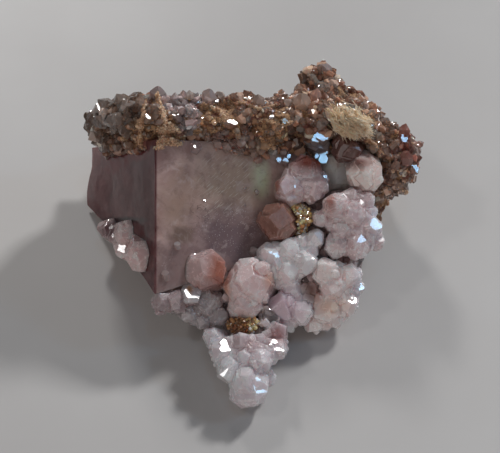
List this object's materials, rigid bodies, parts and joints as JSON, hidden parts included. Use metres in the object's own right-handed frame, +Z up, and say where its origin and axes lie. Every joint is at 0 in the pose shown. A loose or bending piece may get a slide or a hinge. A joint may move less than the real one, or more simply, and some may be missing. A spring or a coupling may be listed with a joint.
{
  "type": "fluorite specimen",
  "caption": "Mineral specimen of a clear lilac fluorite cube under a brown druse crust, with pink quartz crystals that taper to a tip, on a flat broken rock base.",
  "frame": {"origin": "on the table, under the middle of the specimen's box", "axes": "+Z up; +X to the right as the cube's display face is seen; the tip points to -Y and the crust is towards +Y"},
  "size_m": [0.0646, 0.0672, 0.0348],
  "materials": {
    "fluorite": "polished",
    "pink_quartz": "satin",
    "clear_quartz": "satin",
    "brown_quartz": "satin",
    "cream_quartz": "satin",
    "limonite": "matte",
    "yellow_limonite": "matte"
  },
  "bodies": {
    "root": {"fluorite_cube": "fluorite", "host_rock": "limonite", "limonite_patch": "yellow_limonite", "limonite_tuft_upper": "limonite", "limonite_tuft_lower": "limonite", "quartz_cluster_left": "pink_quartz", "quartz_ball_left": "pink_quartz", "quartz_ball_centre": "pink_quartz", "quartz_point_foot": "clear_quartz", "quartz_foot_blocks": "clear_quartz", "quartz_foot_druse": "clear_quartz", "quartz_cluster_tip": "clear_quartz", "quartz_cluster_centre": "clear_quartz", "quartz_cluster_lower_right": "pink_quartz", "quartz_cluster_right": "pink_quartz", "quartz_cluster_upper": "pink_quartz", "quartz_crystal_brown": "brown_quartz", "quartz_crystal_cream": "cream_quartz", "quartz_crystal_dark": "brown_quartz"}
  },
  "joints": []
}
